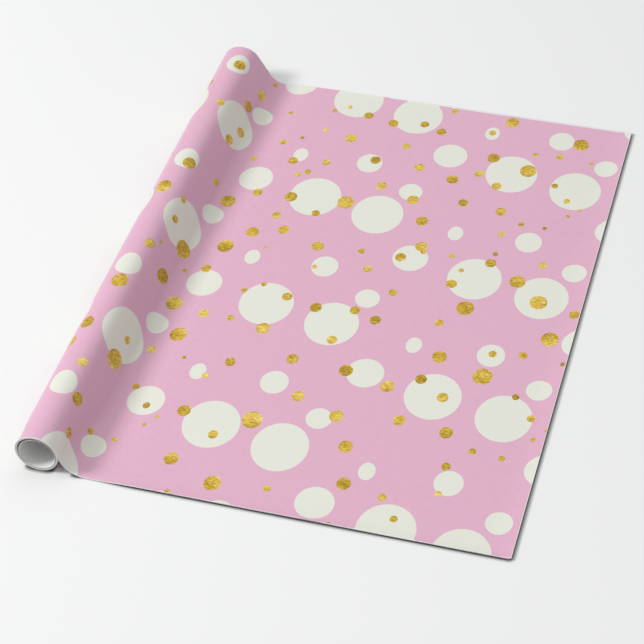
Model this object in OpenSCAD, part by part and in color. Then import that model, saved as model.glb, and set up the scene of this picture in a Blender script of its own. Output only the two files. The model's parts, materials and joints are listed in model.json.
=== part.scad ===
// Gift-wrap roll lying on a flat surface, partly unrolled.
// One printed paper web is wound on a loose board core. It leaves the roll just past the top,
// runs down in an S-shaped take-off and lies flat as far as its free edge.
// Y is the roll's axis, +X points to the free edge, +Z is up. The origin is under the middle
// of the whole footprint, on the surface that the roll rests on.

/* [Web] */
// Width of the web, which is the length of the roll
web_w = 762; // [500:1:1000]
// Thickness of the web
web_t = 0.2; // [0.1:0.05:0.2]
// Distance from the roll's axis to the free edge of the laid sheet
free_edge_x = 536; // [535:1:700]
// Length that can be pulled out, about one repeat of the print
pull_out = 468; // [100:2:468]
// Amount that the reserve strip stands back from each side of the sheet
reserve_inset = 1; // [0.5:0.5:5]

/* [Roll] */
// Outer diameter of the roll
roll_d = 50.8; // [50.8:0.2:60]
// Turns of the spiral between the first turn and the outer turn
wound_n = 6.5; // [3:0.5:6.5]
// Radial slack between the outer turn and the wound turns
turn_slack = 0.15; // [0.1:0.05:0.15]
// Air left between one wound turn and the next
wound_air = 0.01; // [0.01:0.01:0.02]

/* [Take-off] */
// Angle past the top of the roll at which the web leaves it
leave_angle = 60; // [40:1:65]
// Radius of the bend where the web comes down to the surface
foot_r = 25; // [8:1:25]
// Flat landing between the bend and the laid sheet
landing_l = 5; // [3:1:10]

/* [Core] */
// Bore of the board core
core_bore_d = 42.4; // [40:0.1:42.4]
// Thickness of one board ply
ply_t = 0.3; // [0.2:0.05:0.3]
// Distance that the loose core sits off the roll's axis, down and toward the web
core_offset = 0.9; // [0:0.1:0.9]

/* [Hidden] */

print_pink = "#e0b2cb";
board_grey = "#b9b7b1";
board_pale = "#d2d0ca";

arc_step = 6;            // degrees of arc in one flat facet of paper
outer_turn_gap = 10;     // degrees left open between the ends of the outer turn
reserve_overlap = 3;     // reserve still under the sheet when it is pulled right out

roll_r = roll_d / 2;
wound_r = roll_r - web_t - turn_slack;
wound_pitch = web_t + wound_air;
// The spiral's flat facets come nearest to the axis at their middles, clear of the first turn.
first_turn_r = (wound_r - web_t - wound_n * wound_pitch) * cos(arc_step / 2) - wound_air;

// The laid sheet rests on the reserve strip, so the take-off lands one thickness up.
sheet_z = web_t;
leave_x = roll_r * sin(leave_angle);
leave_z = roll_r + roll_r * cos(leave_angle);
foot_z = sheet_z + foot_r;
// The slope follows the tangent down to the bend, measured on the web's white side.
white_r = roll_r - web_t;
slope_drop = roll_r + white_r * cos(leave_angle) - (foot_z - foot_r * cos(leave_angle));
slope_l = slope_drop / sin(leave_angle);
foot_x = (white_r + foot_r) * sin(leave_angle) + slope_l * cos(leave_angle);
land_x = foot_x + landing_l;

// The footprint runs from the roll's far side to the free edge.
origin_x = (free_edge_x - roll_r) / 2;

// Points of a circular arc about (x, z), from angle a0 to a1.
function arc(x, z, r, a0, a1) =
    let (n = ceil(abs(a1 - a0) / arc_step))
    [for (i = [0:n]) let (a = a0 + (a1 - a0) * i / n) [x + r * cos(a), z + r * sin(a)]];

// Points of a spiral about (x, z) that closes in by one thickness and its air a turn.
function spiral(x, z, r, turns) =
    let (n = turns * 360 / arc_step)
    [for (i = [0:n]) let (a = i * arc_step, q = r - wound_pitch * a / 360) [x + q * cos(a), z + q * sin(a)]];

function backwards(points) = [for (i = [len(points) - 1:-1:0]) points[i]];

// Runs a profile drawn in X and Z along the roll's axis.
module along_roll(w = web_w) {
    translate([-origin_x, 0, 0])
        rotate([90, 0, 0])
            linear_extrude(height = w, center = true)
                children();
}

// A round tube along the roll, offset from the roll's axis.
module tube(outer_r, inner_r, dx = 0, dz = 0) {
    translate([dx - origin_x, 0, roll_r + dz])
        rotate([90, 0, 0])
            difference() {
                cylinder(r = outer_r, h = web_w, center = true, $fn = 120);
                cylinder(r = inner_r, h = web_w + 2, center = true, $fn = 120);
            }
}

module core_ply(index) {
    r = core_bore_d / 2 + index * ply_t;
    tube(r + ply_t, r, core_offset * cos(45), -core_offset * sin(45));
}

module core_liner_ply() {
    color(board_pale)
        core_ply(0);
}

module core_middle_ply() {
    color(board_grey)
        core_ply(1);
}

module core_outer_ply() {
    color(board_pale)
        core_ply(2);
}

// The start of the web, closed on itself as a round sleeve that the core slides in.
module first_turn() {
    color(print_pink)
        tube(first_turn_r, first_turn_r - web_t);
}

// The web between the first and outer turns: one strip, spiralling in from the nip.
module wound_turns() {
    color(print_pink)
        along_roll()
            polygon(concat(
                spiral(0, roll_r, wound_r, wound_n),
                backwards(spiral(0, roll_r, wound_r - web_t, wound_n))
            ));
}

// The last turn on the roll, from the point where the web leaves it all the way round.
module outer_turn() {
    start = 90 - leave_angle;
    end = start + 360 - outer_turn_gap;
    color(print_pink)
        along_roll()
            polygon(concat(
                arc(0, roll_r, roll_r, start, end),
                arc(0, roll_r, roll_r - web_t, end, start)
            ));
}

// The upper half of the S-shaped take-off, straight down the tangent to the roll.
module takeoff_slope() {
    printed_r = foot_r - web_t;
    color(print_pink)
        along_roll()
            polygon([
                [leave_x, leave_z],
                [foot_x - printed_r * sin(leave_angle), foot_z - printed_r * cos(leave_angle)],
                [foot_x - foot_r * sin(leave_angle), foot_z - foot_r * cos(leave_angle)],
                [white_r * sin(leave_angle), roll_r + white_r * cos(leave_angle)]
            ]);
}

// The lower half of the S: round the bend and on to the flat landing.
module foot_bend() {
    color(print_pink)
        along_roll()
            polygon(concat(
                arc(foot_x, foot_z, foot_r - web_t, 270 - leave_angle, 270),
                [[land_x, sheet_z + web_t], [land_x, sheet_z]],
                arc(foot_x, foot_z, foot_r, 270, 270 - leave_angle)
            ));
}

// The web that is still to come off the roll, laid under the sheet so that it can slide out.
module reserve_strip() {
    color(print_pink)
        along_roll(web_w - 2 * reserve_inset)
            translate([foot_x, 0])
                square([landing_l + pull_out + reserve_overlap, web_t]);
}

module laid_sheet() {
    color(print_pink)
        along_roll()
            translate([land_x, sheet_z])
                square([free_edge_x - land_x, web_t]);
}

core_liner_ply();
core_middle_ply();
core_outer_ply();
first_turn();
wound_turns();
outer_turn();
takeoff_slope();
foot_bend();
reserve_strip();
laid_sheet();
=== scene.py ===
"""A partly unrolled roll of printed gift wrap: one paper web, a loose board core, a plain studio.

Print positions are in millimetres: u runs along the web, measured from below the roll's axis
(on the flat it is the distance from that axis), and v runs across it from the near edge.
"""
import json
import math
import random

import bmesh
import bpy
from mathutils import Matrix, Vector, noise
from mathutils.geometry import delaunay_2d_cdt


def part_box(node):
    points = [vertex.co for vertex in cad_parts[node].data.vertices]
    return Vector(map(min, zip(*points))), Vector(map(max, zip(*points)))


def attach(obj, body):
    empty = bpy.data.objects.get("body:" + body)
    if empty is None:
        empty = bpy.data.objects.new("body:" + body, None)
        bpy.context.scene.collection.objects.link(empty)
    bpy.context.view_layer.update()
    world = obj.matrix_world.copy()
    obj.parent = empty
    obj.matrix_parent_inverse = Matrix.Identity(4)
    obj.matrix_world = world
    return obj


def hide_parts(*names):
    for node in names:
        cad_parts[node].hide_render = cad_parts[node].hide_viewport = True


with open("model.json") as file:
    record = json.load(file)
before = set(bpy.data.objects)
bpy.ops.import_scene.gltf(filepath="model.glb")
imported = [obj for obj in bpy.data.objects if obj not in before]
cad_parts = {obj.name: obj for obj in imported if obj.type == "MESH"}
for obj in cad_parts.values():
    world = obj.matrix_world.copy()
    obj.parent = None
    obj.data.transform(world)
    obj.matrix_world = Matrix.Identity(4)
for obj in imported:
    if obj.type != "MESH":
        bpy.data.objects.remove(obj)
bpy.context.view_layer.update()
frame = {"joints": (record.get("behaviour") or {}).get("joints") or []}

MM = 0.001

# ---------------------------------------------------------------- sizes from the frame
SPIN = next(j for j in frame["joints"] if j["name"] == "roll_spin")
PULL = next(j for j in frame["joints"] if j["name"] == "pull_out")
AXIS_X, AXIS_Z = SPIN["pos_m"][0] / MM, SPIN["pos_m"][2] / MM
SHEET_LO, SHEET_HI = (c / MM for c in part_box("laid_sheet"))
RESERVE_LO, RESERVE_HI = (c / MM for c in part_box("reserve_strip"))
FIRST_LO, FIRST_HI = (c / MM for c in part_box("first_turn"))
WOUND_LO, WOUND_HI = (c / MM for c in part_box("wound_turns"))

PAPER_T = SHEET_HI.z - SHEET_LO.z
WEB_W = SHEET_HI.y - SHEET_LO.y
NEAR_Y = SHEET_LO.y
ROLL_R = AXIS_Z
SHEET_Z = SHEET_LO.z
LAND_U = SHEET_LO.x - AXIS_X
FREE_U = SHEET_HI.x - AXIS_X
PULL_OUT = PULL["range_m"][1] / MM

OUTER_TURN = math.radians(350)      # from the take-off back round to the outer turn's hidden end

# The web leaves the roll at an angle past its top and comes down in a bend. At the near end it
# hugs the roll for longer and bends wider. Toward the far end the last turn is a little looser
# and the bend opens out.
LEAVE, FOOT_R = math.radians(59), 20.0
NEAR_LEAVE, NEAR_FOOT_R, NEAR_REACH = math.radians(80), 30.0, 120.0
FAR_LOOSE, FAR_FOOT_R, FAR_REACH = 1.0, 27.0, 240.0


def ease(t):
    """0 to 1 with a smooth start and end."""
    t = min(max(t, 0.0), 1.0)
    return t * t * (3 - 2 * t)


class TakeOff:
    """The web's path round the roll and down to the surface, at v across the web."""

    def __init__(self, v):
        near = 1 - ease(v / NEAR_REACH)
        self.r = ROLL_R + FAR_LOOSE * v / WEB_W
        self.x = self.r - ROLL_R        # the side away from the sheet stays where it is
        self.leave = LEAVE + (NEAR_LEAVE - LEAVE) * near
        far = ease((v - WEB_W + FAR_REACH) / FAR_REACH)
        self.foot_r = FOOT_R + (NEAR_FOOT_R - FOOT_R) * near + (FAR_FOOT_R - FOOT_R) * far - PAPER_T
        self.foot_z = SHEET_Z + PAPER_T + self.foot_r
        sin, cos = math.sin(self.leave), math.cos(self.leave)
        slope_drop = self.r + self.r * cos - (self.foot_z - self.foot_r * cos)
        slope_l = slope_drop / sin
        self.foot_u = self.x + self.r * sin + slope_l * cos + self.foot_r * sin
        self.slope_u = self.foot_u - self.foot_r * self.leave
        self.leave_u = self.slope_u - slope_l

    def at(self, u):
        """Place (x, z) of the printed side and its tilt from level, at length u along the web."""
        if u >= self.foot_u:
            return u, SHEET_Z + PAPER_T, 0.0
        if u >= self.slope_u:
            tilt = (self.foot_u - u) / self.foot_r
            return (self.foot_u - self.foot_r * math.sin(tilt),
                    self.foot_z - self.foot_r * math.cos(tilt), tilt)
        tilt = self.leave
        if u < self.leave_u:
            tilt -= (self.leave_u - u) / self.r
        x = self.x + self.r * math.sin(tilt)
        z = self.r + self.r * math.cos(tilt)
        run = max(0.0, u - self.leave_u)
        return x + run * math.cos(tilt), z - run * math.sin(tilt), tilt


INNER_END_U = TakeOff(0).leave_u - ROLL_R * OUTER_TURN


# ---------------------------------------------------------------- how flat the paper lies
FREE_LIFT, FREE_REACH = 3.2, 30.0                   # the curl of the free edge
NEAR_LIFT, FAR_LIFT, SIDE_REACH = 1.8, 0.6, 16.0    # the curl of the two cut sides
UNEVEN, UNEVEN_SIZE = 0.25, 90.0                    # how much the curls vary, and over what length
WAVE, WAVE_U, WAVE_V = 0.35, 120.0, 160.0           # the faint waviness all over
LANDING_REACH = 60.0                                # both fade out towards the landing
SWELL, SWELL_V = 1.2, 120.0                         # the rise that follows the take-off
FAR_SWELL, FAR_SWELL_V, FAR_SWELL_REACH = 1.3, 500.0, 260.0     # and more at the far side
SWELL_RISE, SWELL_TOP, SWELL_END = 38.0, 108.0, 380.0


def lift(u, v):
    """How far the laid paper stands off the surface: curled edges, faint waves and a low swell."""
    from_landing = ease((u - LAND_U) / LANDING_REACH)
    free = max(0.0, 1 - (FREE_U - u) / FREE_REACH) ** 2
    near = max(0.0, 1 - v / SIDE_REACH) ** 2
    far = max(0.0, 1 - (WEB_W - v) / SIDE_REACH) ** 2
    uneven = 1 + UNEVEN * noise.noise(Vector((u / UNEVEN_SIZE, v / UNEVEN_SIZE, 3.0)))
    wave = WAVE * (0.5 + 0.5 * noise.noise(Vector((u / WAVE_U, v / WAVE_V, 7.0))))
    fall = 1 - ease((u - SWELL_TOP) / (SWELL_END - SWELL_TOP))
    swell = ease((u - LAND_U) / SWELL_RISE) * fall
    swell *= SWELL * ease(v / SWELL_V) + FAR_SWELL * ease((v - FAR_SWELL_V) / FAR_SWELL_REACH)
    edges = max(FREE_LIFT * free, NEAR_LIFT * near, FAR_LIFT * far)
    return from_landing * (uneven * edges + wave) + swell


# ---------------------------------------------------------------- the print
# The cream dots repeat: every dot comes again at STEP_UP, and at STEP_ALONG half a drop on.
STEP_UP = (1.2, 210.8)
STEP_ALONG = (233, STEP_UP[1] / 2)
REPEAT = 2 * STEP_ALONG[0] - STEP_UP[0]     # where a dot comes again at the same v
COPIES_UP, COPIES_ALONG = 4, 3              # enough either way to cover the web
CREAM_DOTS = (  # u, v, radius along u, radius along v
    (252, 310, 32.5, 37.5),
    (166, 325, 33, 37.5),
    (314, 449, 22, 24),
    (216, 408, 16.5, 19),
    (282, 364, 15, 16.5),
    (356, 298, 9.5, 13.5),
)
# The gold dots are scattered, and grouped here by radius.
GOLD_DOTS = {
    12: ((20, 167), (36, 386), (208, 132), (446, 266)),
    11: ((208, 534), (400, 376), (509, 346), (483, 407), (420, 653)),
    10.5: ((57, 300), (-22, 271), (80, 248), (-30, 453), (85, 416), (476, 723)),
    10: ((27, 325), (61, 502), (194, 28), (451, 438)),
    9: ((-35, 194), (-13, 506), (379, 749), (390, 286)),
    8.5: ((175, 282), (137, 528), (110, 449), (138, 52), (299, 162), (322, 118), (335, 63),
          (290, 237), (343, 223), (371, 669), (-14, 723)),
    8: ((-45, 164), (128, 127), (197, 443), (290, 560), (311, 522), (322, 474), (180, 664),
        (426, 167), (26, 675), (-1, 79), (329, 613)),
    7.5: ((37, 715), (23, 597), (226, 333), (224, 240), (147, 463), (248, 182), (370, 173)),
    7: ((-10, 347), (34, 627), (226, 709), (223, 627), (301, 329), (378, 244), (302, 448),
        (374, 415), (282, 626), (409, 221), (412, 464), (403, 564), (244, 578)),
    6.5: ((-15, 129), (75, 370), (187, 343), (98, 290), (155, 217), (93, 527), (190, 717),
          (119, 600), (273, 340), (260, 283), (353, 570), (292, 707), (360, 633), (529, 394),
          (387, 613)),
    6: ((-14, 638), (172, 99), (130, 488), (267, 717), (9, 36)),
    5.5: ((57, 216), (35, 522), (177, 504), (162, 607), (309, 382), (376, 343), (268, 417),
          (255, 665), (438, 116), (484, 312), (475, 475), (5, 410)),
    5: ((-45, 684), (95, 635), (24, 204), (381, 54), (358, 721), (514, 212), (449, 306),
        (454, 692)),
    4.5: ((61, 152), (3, 446), (67, 594), (134, 188), (83, 125), (132, 290), (133, 574),
          (144, 582), (255, 35), (252, 447), (299, 755), (461, 146), (401, 26), (490, 242),
          (413, 521), (459, 631), (480, 604)),
    4: ((36, 65), (133, 342), (143, 672), (327, 465), (363, 466), (495, 143), (433, 546),
        (423, 688), (439, 74)),
    3.5: ((66, 65), (51, 359), (49, 751), (150, 3), (153, 358), (204, 404), (143, 716),
          (161, 729), (87, 699), (380, 442), (414, 482)),
    3: ((-46, 249), (-46, 527), (117, 649), (463, 545), (496, 688), (523, 179), (532, 306),
        (335, 0)),
    2.5: ((2, 361), (102, 110), (91, 95), (100, 211), (135, 424), (499, 590), (487, 575),
          (535, 195)),
}
# The web goes round the roll a little askew, which carries its ovals back from ASKEW_U on.
ASKEW, ASKEW_U, ASKEW_V, ASKEW_REACH = 0.1, 60, 850, 130
GOLD_WIDE, GOLD_TALL = 0.96, 1.12       # gold dots are a little longer across the web
SCATTER_END_U = -64                     # before this the gold scatter comes round again
PAINTED_EDGE_LIGHT, FREE_PAINTED_EDGE_LIGHT = 0.8, 0.5          # painted highlight: a white band along the sides and the free edge stands in for the light on the paper's cut edge


def askew(u, v):
    """How far back the wound print sits along the web, most at the near end."""
    return ASKEW * min(max(0.0, ASKEW_U - u), ASKEW_REACH) * (1 - v / ASKEW_V)


def cream_dots(u0, u1):
    """Every cream dot that reaches the stretch u0..u1 of the web."""
    dots = []
    for u, v, ru, rv in CREAM_DOTS:
        for i in range(-COPIES_UP, COPIES_UP + 1):
            for j in range(-COPIES_ALONG, COPIES_ALONG + 1):
                cu = u + i * STEP_UP[0] + j * STEP_ALONG[0]
                cv = v + i * STEP_UP[1] + j * STEP_ALONG[1]
                cu -= askew(cu, cv)
                if u0 - ru < cu < u1 + ru and -rv < cv < WEB_W + rv:
                    dots.append((cu, cv, ru, rv))
    return dots


def gold_dots(u0, u1):
    """Every gold dot that reaches the stretch u0..u1 of the web."""
    dots = []
    for radius, places in GOLD_DOTS.items():
        for u, v in places:
            for cu, present in ((u, True), (u - REPEAT, u - REPEAT < SCATTER_END_U)):
                if present and u0 - radius < cu < u1 + radius:
                    dots.append((cu, v, radius * GOLD_WIDE, radius * GOLD_TALL))
    return dots


# ---------------------------------------------------------------- materials
def new_material(name, roughness, gloss=0.3):
    mat = bpy.data.materials.new(name)
    mat.use_nodes = True
    shader = mat.node_tree.nodes["Principled BSDF"]
    shader.inputs["Roughness"].default_value = roughness
    shader.inputs["Specular IOR Level"].default_value = gloss
    return mat, mat.node_tree, shader


def add(tree, kind, **settings):
    node = tree.nodes.new(kind)
    for key, value in settings.items():
        setattr(node, key, value)
    return node


def noise_node(tree, coords, scale, detail, rough):
    node = add(tree, "ShaderNodeTexNoise")
    node.inputs["Scale"].default_value = scale
    node.inputs["Detail"].default_value = detail
    node.inputs["Roughness"].default_value = rough
    tree.links.new(coords, node.inputs["Vector"])
    return node.outputs["Fac"]


def ramp(tree, fac, stops):
    node = add(tree, "ShaderNodeValToRGB")
    elements = node.color_ramp.elements
    while len(elements) < len(stops):
        elements.new(0.5)
    for element, (place, colour) in zip(elements, stops):
        element.position = place
        element.color = (*colour, 1)
    tree.links.new(fac, node.inputs["Fac"])
    return node.outputs["Color"]


def bump(tree, shader, height, distance, strength):
    node = add(tree, "ShaderNodeBump")
    node.inputs["Strength"].default_value = strength
    node.inputs["Distance"].default_value = distance
    tree.links.new(height, node.inputs["Height"])
    tree.links.new(node.outputs["Normal"], shader.inputs["Normal"])


def object_coords(tree):
    return add(tree, "ShaderNodeTexCoord").outputs["Object"]


def stretched_coords(tree, scale):
    """Object coordinates, scaled so that a texture is drawn out where the scale is small."""
    mapping = add(tree, "ShaderNodeMapping")
    mapping.inputs["Scale"].default_value = scale
    tree.links.new(object_coords(tree), mapping.inputs["Vector"])
    return mapping.outputs["Vector"]


def shade(colour, k):
    return tuple(min(1.0, c * k) for c in colour)


# Scales of the textures, and the depth of their relief in metres.
PAPER_BLOTCH, PAPER_FIBRE, PAPER_TOOTH = 160, 1400, 0.00004
GOLD_FOLDS, GOLD_PATCH, GOLD_RELIEF = 480, 34, 0.0002
GOLD_TWIST, GOLD_TWIST_SCALE = 0.006, 150   # how far the folds wander (m), and how finely
GOLD_TONE = 0.55                            # how much lighter one patch is than the next
BOARD_FIBRE, BOARD_TOOTH = 700, 0.00008


def paper_material(name, colour, roughness, mottle=0.03):
    """Printed or plain paper: faint ink mottle and a fine fibre tooth."""
    mat, tree, shader = new_material(name, roughness)
    coords = object_coords(tree)
    blotch = noise_node(tree, coords, PAPER_BLOTCH, 4.0, 0.6)
    stops = ((0.25, shade(colour, 1 - mottle)), (0.75, shade(colour, 1 + mottle)))
    tree.links.new(ramp(tree, blotch, stops), shader.inputs["Base Color"])
    fibre = noise_node(tree, coords, PAPER_FIBRE, 3.0, 0.65)
    bump(tree, shader, fibre, PAPER_TOOTH, 0.5)
    return mat


def gold_material():
    """Printed gold leaf: crinkled, from deep ochre folds to pale yellow ridges."""
    mat, tree, shader = new_material("gold_leaf", 0.34)
    shader.inputs["Metallic"].default_value = 0.1
    coords = stretched_coords(tree, (0.45, 1.0, 0.45))
    warp = add(tree, "ShaderNodeVectorMath", operation="MULTIPLY_ADD")
    twist = add(tree, "ShaderNodeTexNoise")
    twist.inputs["Scale"].default_value = GOLD_TWIST_SCALE
    tree.links.new(coords, twist.inputs["Vector"])
    tree.links.new(twist.outputs["Color"], warp.inputs[0])
    warp.inputs[1].default_value = (GOLD_TWIST,) * 3
    tree.links.new(coords, warp.inputs[2])
    crinkle = noise_node(tree, warp.outputs[0], GOLD_FOLDS, 5.0, 0.72)
    tone = noise_node(tree, coords, GOLD_PATCH, 1.0, 0.5)
    mix = add(tree, "ShaderNodeMath", operation="MULTIPLY_ADD")
    tree.links.new(tone, mix.inputs[0])
    mix.inputs[1].default_value = GOLD_TONE
    tree.links.new(crinkle, mix.inputs[2])
    shift = add(tree, "ShaderNodeMath", operation="SUBTRACT")
    tree.links.new(mix.outputs[0], shift.inputs[0])
    shift.inputs[1].default_value = GOLD_TONE / 2
    stops = ((0.30, (0.27, 0.165, 0.008)), (0.42, (0.45, 0.28, 0.018)),
             (0.52, (0.65, 0.43, 0.050)), (0.62, (0.80, 0.60, 0.13)), (0.74, (0.94, 0.84, 0.44)))
    tree.links.new(ramp(tree, shift.outputs[0], stops), shader.inputs["Base Color"])
    bump(tree, shader, crinkle, GOLD_RELIEF, 0.5)
    return mat


def board_material(name, colour):
    """Grey recycled board: flecks, long fibres and a soft tooth."""
    mat, tree, shader = new_material(name, 0.82)
    coords = stretched_coords(tree, (1.0, 0.25, 1.0))
    fibre = noise_node(tree, coords, BOARD_FIBRE, 5.0, 0.7)
    stops = ((0.28, shade(colour, 0.80)), (0.45, shade(colour, 0.97)), (0.70, shade(colour, 1.06)))
    tree.links.new(ramp(tree, fibre, stops), shader.inputs["Base Color"])
    bump(tree, shader, fibre, BOARD_TOOTH, 0.6)
    return mat


PINK = (0.704, 0.415, 0.545)
CREAM = (0.736, 0.746, 0.664)
WHITE = (0.83, 0.83, 0.82)

pink = paper_material("print_pink", PINK, 0.42)
cream = paper_material("print_cream", CREAM, 0.45, 0.012)
gold = gold_material()
white = paper_material("paper_white", WHITE, 0.65, 0.015)
liner = board_material("core_liner", (0.78, 0.78, 0.765))
# Grey board, partly its own colour and partly painted shade: kept dark so that the gap between the
# turns and the core reads dark
board = board_material("core_board", (0.34, 0.325, 0.295))
PRINT = (pink, cream, gold, white)
PINK_I, CREAM_I, GOLD_I, WHITE_I = range(len(PRINT))


# ---------------------------------------------------------------- paper meshes
OVAL_SIDES, OVAL_LEAST, OVAL_MOST = 1.6, 20, 72     # sides per mm of the two radii, and limits
EDGE_ROWS = (0, PAINTED_EDGE_LIGHT, 3, 6, 10)                   # rows that lie close to each side
ROLL_STEP, ROLL_ROW = 1.6, 24                       # mesh steps along the web and across it
FINE_STEP, LAID_STEP, LAID_ROW = 4, 12, 12          # fine by the landing and the free edge
RESERVE_STEP = 24


def put_in_scene(name, data):
    piece = bpy.data.objects.new(name, data)
    bpy.context.scene.collection.objects.link(piece)
    return piece


def steps(a, b, size):
    """Evenly spaced values from a to b, about size apart."""
    n = max(1, math.ceil((b - a) / size - 1e-6))
    return [a + (b - a) * i / n for i in range(n + 1)]


def oval(cu, cv, ru, rv):
    n = int(min(OVAL_MOST, max(OVAL_LEAST, OVAL_SIDES * (ru + rv))))
    return [Vector((cu + ru * math.cos(2 * math.pi * k / n), cv + rv * math.sin(2 * math.pi * k / n)))
            for k in range(n)]


def print_layout(us, vs, painted_edge_u, cream_list, gold_list):
    """Cuts the stretch us x vs into triangles along every dot's outline.

    Returns the points (u, v), the triangles and each triangle's material.
    """
    points = [Vector((u, v)) for u in us for v in vs]
    rows = len(vs)
    edges = [(i * rows + j, i * rows + j + 1) for i in range(len(us)) for j in range(rows - 1)]
    for j in (0, rows - 1):
        edges += [(i * rows + j, (i + 1) * rows + j) for i in range(len(us) - 1)]
    faces = []
    for dot in cream_list + gold_list:
        ring = oval(*dot)
        faces.append(list(range(len(points), len(points) + len(ring))))
        points += ring
    out, _, tris, _, _, origin = delaunay_2d_cdt(points, edges, faces, 0, 1e-5, True)
    u0, u1, v0, v1 = us[0], us[-1], vs[0], vs[-1]
    kept, material = [], []
    for tri, covers in zip(tris, origin):
        u = sum(out[k].x for k in tri) / 3
        v = sum(out[k].y for k in tri) / 3
        if not (u0 < u < u1 and v0 < v < v1):
            continue
        dots = [c for c in covers if c < len(faces)]
        # painted highlight: triangles in the band along the cut edges take the white paper, for the
        # light on the edge
        if v < v0 + PAINTED_EDGE_LIGHT or v > v1 - PAINTED_EDGE_LIGHT or u > painted_edge_u:
            kind = WHITE_I
        elif any(c >= len(cream_list) for c in dots):
            kind = GOLD_I
        else:
            kind = CREAM_I if dots else PINK_I
        kept.append(tri)
        material.append(kind)
    return out, kept, material


def thick_sheet(name, points, normals, tris, material):
    """A closed sheet: the printed side, the white back one thickness below it, and the cut edge."""
    used = sorted({k for tri in tris for k in tri})
    place = {k: i for i, k in enumerate(used)}
    n = len(used)
    top = [points[k] for k in used]
    back = [points[k] - normals[k] * PAPER_T for k in used]
    mesh = bpy.data.meshes.new(name)
    faces, kinds, seen = [], [], {}
    for tri, kind in zip(tris, material):
        a, b, c = (place[k] for k in tri)
        if (top[b] - top[a]).cross(top[c] - top[a]).dot(normals[tri[0]]) < 0:
            b, c = c, b
        faces += [(a, b, c), (n + c, n + b, n + a)]
        kinds += [kind, WHITE_I]
        for p, q in ((a, b), (b, c), (c, a)):
            seen[(p, q)] = True
    rim = [(p, q) for p, q in seen if (q, p) not in seen]
    faces += [(q, p, n + p, n + q) for p, q in rim]
    kinds += [WHITE_I] * len(rim)
    mesh.from_pydata([p * MM for p in top + back], [], faces)
    for mat in PRINT:
        mesh.materials.append(mat)
    mesh.polygons.foreach_set("material_index", kinds)
    mesh.polygons.foreach_set("use_smooth", [True] * len(kinds))
    corners = {frozenset(e) for e in rim} | {frozenset((n + p, n + q)) for p, q in rim}
    sharp = [frozenset(e.vertices) in corners for e in mesh.edges]
    mesh.attributes.new("sharp_edge", "BOOLEAN", "EDGE").data.foreach_set("value", sharp)
    mesh.update()
    return put_in_scene(name, mesh)


def printed_web(name, us, vs, place, painted_edge_u=math.inf, shift=0.0):
    """A stretch of the printed web, put in place by place(u, v) -> (point, normal), both in mm.

    With a shift, the stretch carries the print from that far back along the web.
    """
    creams, golds = ([(u + shift, *rest) for u, *rest in dots(us[0] - shift, us[-1] - shift)]
                     for dots in (cream_dots, gold_dots))
    flat, tris, material = print_layout(us, vs, painted_edge_u, creams, golds)
    placed = [place(min(max(p.x, us[0]), us[-1]), min(max(p.y, vs[0]), vs[-1])) for p in flat]
    return thick_sheet(name, [p for p, _ in placed], [n for _, n in placed], tris, material)


def on_profile(u, v):
    """Point and normal on the web's path round the roll and down to the surface."""
    x, z, tilt = TakeOff(v).at(u)
    return Vector((AXIS_X + x, NEAR_Y + v, z)), Vector((math.sin(tilt), 0, math.cos(tilt)))


def on_surface(u, v):
    """The same, where the paper lies and is not quite flat."""
    point, up = on_profile(u, v)
    point.z += lift(u, v)
    return point, up


def on_reserve(u, v):
    """Point and normal on the reserve, which lies flat under the sheet."""
    return Vector((AXIS_X + u, NEAR_Y + v, RESERVE_HI.z)), Vector((0, 0, 1))


def side_rows(v0, v1, size):
    """Rows across the web, closer along each side for its painted edge highlight and its curl."""
    near = [v0 + row for row in EDGE_ROWS]
    far = [v1 - row for row in reversed(EDGE_ROWS)]
    return near + steps(v0 + SIDE_REACH, v1 - SIDE_REACH, size) + far


def roll_web():
    """The outer turn, the S-shaped take-off and the landing, as one flowing piece."""
    us = steps(INNER_END_U, LAND_U, ROLL_STEP)
    piece = printed_web("roll_web", us, side_rows(0, WEB_W, ROLL_ROW), on_profile)
    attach(piece, "takeoff")
    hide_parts("outer_turn", "takeoff_slope", "foot_bend")


def laid_web():
    """The flat sheet, with its lightly curled edges."""
    us = (steps(LAND_U, LAND_U + LANDING_REACH, FINE_STEP)[:-1]
          + steps(LAND_U + LANDING_REACH, FREE_U - FREE_REACH, LAID_STEP)[:-1]
          + steps(FREE_U - FREE_REACH, FREE_U - FREE_PAINTED_EDGE_LIGHT, FINE_STEP) + [FREE_U])
    piece = printed_web("laid_web", us, side_rows(0, WEB_W, LAID_ROW), on_surface,
                        painted_edge_u=FREE_U - FREE_PAINTED_EDGE_LIGHT)
    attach(piece, "sheet")
    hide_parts("laid_sheet")


def reserve_web():
    """The web still to come: when it is pulled out, its print follows on from the sheet's."""
    u0, u1 = RESERVE_LO.x - AXIS_X, RESERVE_HI.x - AXIS_X
    inset = RESERVE_LO.y - NEAR_Y
    vs = side_rows(inset, WEB_W - inset, RESERVE_STEP)
    piece = printed_web("reserve_web", steps(u0, u1, RESERVE_STEP), vs, on_reserve, shift=PULL_OUT)
    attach(piece, "takeoff")
    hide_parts("reserve_strip")


SPIRAL_TURNS, FIRST_TURNS = 6.5, 1.0    # under the outer turn: the spiral, then the first turn
WOUND_FACETS, WOUND_ROWS = 120, 5       # round each turn, and along the roll
RAGGED = 0.35                           # how far the cut edges stray from turn to turn


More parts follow.
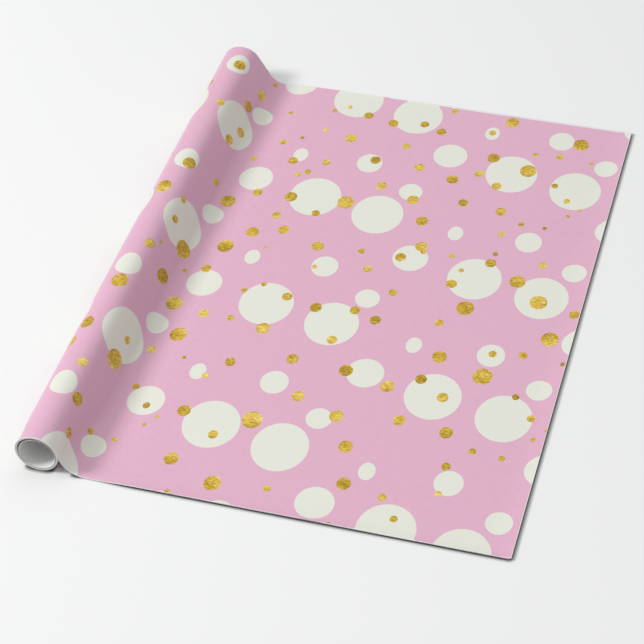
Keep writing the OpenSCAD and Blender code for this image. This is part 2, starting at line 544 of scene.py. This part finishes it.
def wound_web():
    """The turns on the core: one strip, pink outside, its cut edges slightly uneven."""
    outer_r = (WOUND_HI.x - WOUND_LO.x) / 2
    inner_r = (FIRST_HI.x - FIRST_LO.x) / 2
    pitch = (outer_r - inner_r) / SPIRAL_TURNS
    turns = SPIRAL_TURNS + FIRST_TURNS
    count = int(turns * WOUND_FACETS)
    seed = random.Random(5)
    ends = [(seed.uniform(-RAGGED, 0.0), seed.uniform(0.0, RAGGED)) for _ in range(int(turns) + 2)]
    points, normals = [], []
    for i in range(count + 1):
        turn = i / WOUND_FACETS
        a = 2 * math.pi * turn
        r = outer_r - pitch * min(turn, SPIRAL_TURNS)
        k, blend = int(turn), ease(turn - int(turn))
        near = ends[k][0] * (1 - blend) + ends[k + 1][0] * blend
        far = ends[k][1] * (1 - blend) + ends[k + 1][1] * blend
        normal = Vector((math.cos(a), 0, math.sin(a)))
        for j in range(WOUND_ROWS):
            y = NEAR_Y - near + (WEB_W + near - far) * j / (WOUND_ROWS - 1)
            points.append(Vector((AXIS_X, y, AXIS_Z)) + normal * r)
            normals.append(normal)
    tris = []
    for i in range(count):
        for j in range(WOUND_ROWS - 1):
            a, b = i * WOUND_ROWS + j, (i + 1) * WOUND_ROWS + j
            tris += [(a, a + 1, b + 1), (a, b + 1, b)]
    piece = thick_sheet("wound_web", points, normals, tris, [PINK_I] * len(tris))
    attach(piece, "wound_roll")
    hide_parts("first_turn", "wound_turns")


# ---------------------------------------------------------------- the core
LINER_LO, LINER_HI = (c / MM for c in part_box("core_liner_ply"))
COVER_LO, COVER_HI = (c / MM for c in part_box("core_outer_ply"))
PLY_T = ((COVER_HI.x - COVER_LO.x) - (LINER_HI.x - LINER_LO.x)) / 4
PLY_PITCH = 92                          # how far a strip advances in one turn down the tube
PLY_FACETS, PLY_COLUMNS = 96, 10        # round each turn, and across the strip
SHARP = math.radians(35)


def helical_ply(name, node, mat, start, gap):
    """One ply of a spiral-wound tube: a strip with an open butt seam that winds down the tube."""
    lo, hi = (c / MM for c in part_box(node))
    cx, cz = (lo.x + hi.x) / 2, (lo.z + hi.z) / 2
    outer = (hi.x - lo.x) / 2
    length = hi.y - lo.y
    strip = PLY_PITCH - gap
    # The strip starts and ends well past the tube, whose ends are then cut square.
    first_y = PLY_PITCH * (-int(length / PLY_PITCH / 2) - 3)
    total = int((length / PLY_PITCH + 4) * PLY_FACETS)
    bm = bmesh.new()
    grid = {}
    for i in range(total + 1):
        a = start + 2 * math.pi * i / PLY_FACETS
        y = first_y + PLY_PITCH * i / PLY_FACETS
        for j in range(PLY_COLUMNS + 1):
            for side, r in enumerate((outer, outer - PLY_T)):
                grid[i, j, side] = bm.verts.new(
                    (cx + r * math.cos(a), y + strip * j / PLY_COLUMNS, cz + r * math.sin(a)))

    def quad(*keys):
        bm.faces.new([grid[k] for k in keys])

    last = PLY_COLUMNS
    for i in range(total):
        for j in range(PLY_COLUMNS):
            quad((i, j, 0), (i + 1, j, 0), (i + 1, j + 1, 0), (i, j + 1, 0))
            quad((i, j, 1), (i, j + 1, 1), (i + 1, j + 1, 1), (i + 1, j, 1))
        quad((i, 0, 0), (i, 0, 1), (i + 1, 0, 1), (i + 1, 0, 0))
        quad((i, last, 0), (i + 1, last, 0), (i + 1, last, 1), (i, last, 1))
    for i in (0, total):
        for j in range(PLY_COLUMNS):
            quad((i, j, 0), (i, j + 1, 0), (i, j + 1, 1), (i, j, 1))
    bmesh.ops.recalc_face_normals(bm, faces=bm.faces)
    for y, facing in ((lo.y, -1), (hi.y, 1)):
        bmesh.ops.bisect_plane(bm, geom=bm.verts[:] + bm.edges[:] + bm.faces[:],
                               plane_co=(0, y, 0), plane_no=(0, facing, 0), clear_outer=True)
        open_edges = [e for e in bm.edges if e.is_boundary]
        bmesh.ops.holes_fill(bm, edges=open_edges, sides=0)
    bmesh.ops.scale(bm, vec=(MM, MM, MM), verts=bm.verts)
    mesh = bpy.data.meshes.new(name)
    bm.to_mesh(mesh)
    bm.free()
    mesh.materials.append(mat)
    mesh.shade_smooth()
    mesh.set_sharp_from_angle(angle=SHARP)
    piece = put_in_scene(name, mesh)
    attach(piece, "core")
    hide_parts(node)


def core():
    """The three plies, each seam a third of a turn on from the last."""
    helical_ply("core_liner", "core_liner_ply", liner, 0.4, 0.6)
    helical_ply("core_middle", "core_middle_ply", board, 2.5, 0.4)
    helical_ply("core_outer", "core_outer_ply", board, 4.6, 0.5)


# ---------------------------------------------------------------- the studio
FLOOR_SIZE = 12.0
FLOOR_DROP = 0.00005                        # just under the paper, so that the two don't coincide
FLOOR = (0.822, 0.832, 0.827)
PAINTED_SHADE_REACH, PAINTED_SHADE_POWER = 0.006, 3.4   # painted shade: how far from the paper, and how strongly, the floor's colour is darkened
MIX_A, MIX_B, MIX_RESULT = 6, 7, 2          # the colour sockets of a Mix node


def studio_floor():
    """A pale level surface, with painted shade: its colour is a little darker in the crevice along
    the paper's edge.
    """
    bm = bmesh.new()
    half = FLOOR_SIZE / 2
    corners = [bm.verts.new((x, y, -FLOOR_DROP)) for x, y in
               ((-half, -half), (half, -half), (half, half), (-half, half))]
    bm.faces.new(corners)
    mesh = bpy.data.meshes.new("floor")
    bm.to_mesh(mesh)
    bm.free()
    mat, tree, shader = new_material("floor_pale", 0.9, gloss=0.1)
    # painted contact shadow: the floor's colour is multiplied down wherever paper or roll is close
    # overhead
    painted_ao = add(tree, "ShaderNodeAmbientOcclusion", samples=16)
    painted_ao.inputs["Distance"].default_value = PAINTED_SHADE_REACH
    depth = add(tree, "ShaderNodeMath", operation="POWER")
    tree.links.new(painted_ao.outputs["AO"], depth.inputs[0])
    depth.inputs[1].default_value = PAINTED_SHADE_POWER
    paint_shade = add(tree, "ShaderNodeMix", data_type="RGBA", blend_type="MULTIPLY")
    paint_shade.inputs["Factor"].default_value = 1.0
    paint_shade.inputs[MIX_A].default_value = (*FLOOR, 1)
    tree.links.new(depth.outputs[0], paint_shade.inputs[MIX_B])
    tree.links.new(paint_shade.outputs[MIX_RESULT], shader.inputs["Base Color"])
    mesh.materials.append(mat)
    put_in_scene("floor", mesh)


KEY_ELEVATION, KEY_BEARING = math.radians(39), math.radians(160)
KEY_DISTANCE, KEY_SIZE, KEY_POWER = 5.0, 1.4, 134.0
ROOM_HORIZON, ROOM_TOP = 0.08, 1.0      # how bright the room is level with the table and overhead
ROOM = 1.03


def lighting():
    """One soft box on the roll's side, and a white room that is brightest overhead."""
    data = bpy.data.lights.new("key", "AREA")
    data.shape = "DISK"
    data.size = KEY_SIZE
    data.energy = KEY_POWER
    key = put_in_scene("key", data)
    away = Vector((math.cos(KEY_BEARING) * math.cos(KEY_ELEVATION),
                   -math.sin(KEY_BEARING) * math.cos(KEY_ELEVATION), math.sin(KEY_ELEVATION)))
    key.location = away * KEY_DISTANCE
    key.rotation_mode = "QUATERNION"
    key.rotation_quaternion = (-away).to_track_quat("-Z", "Y")
    world = bpy.data.worlds.new("room")
    world.use_nodes = True
    tree = world.node_tree
    background = tree.nodes["Background"]
    background.inputs["Strength"].default_value = ROOM
    height = add(tree, "ShaderNodeSeparateXYZ")
    tree.links.new(add(tree, "ShaderNodeTexCoord").outputs["Generated"], height.inputs[0])
    glow = ramp(tree, height.outputs["Z"], ((0.0, (ROOM_HORIZON,) * 3), (1.0, (ROOM_TOP,) * 3)))
    tree.links.new(glow, background.inputs["Color"])
    bpy.context.scene.world = world
    bpy.context.scene.view_settings.view_transform = "Standard"


# The camera looks at a point on the surface from this azimuth (0 looks along +Y), height and
# distance, and leans a little on its own axis.
AIM = Vector((-0.0155, -0.0697, 0.0))
AZIMUTH, ELEVATION, LEAN = math.radians(17.31), math.radians(42.46), math.radians(-2.21)
DISTANCE, LENS = 2.4805, 116.05


def camera():
    data = bpy.data.cameras.new("camera")
    data.lens = LENS
    data.clip_start, data.clip_end = 0.05, 30
    cam = put_in_scene("camera", data)
    back = Vector((math.sin(AZIMUTH) * math.cos(ELEVATION),
                   -math.cos(AZIMUTH) * math.cos(ELEVATION), math.sin(ELEVATION)))
    turn = (-back).to_track_quat("-Z", "Y").to_matrix() @ Matrix.Rotation(LEAN, 3, "Z")
    cam.matrix_world = Matrix.Translation(AIM + back * DISTANCE) @ turn.to_4x4()
    bpy.context.scene.camera = cam


camera()
lighting()
studio_floor()
core()
wound_web()
roll_web()
reserve_web()
laid_web()
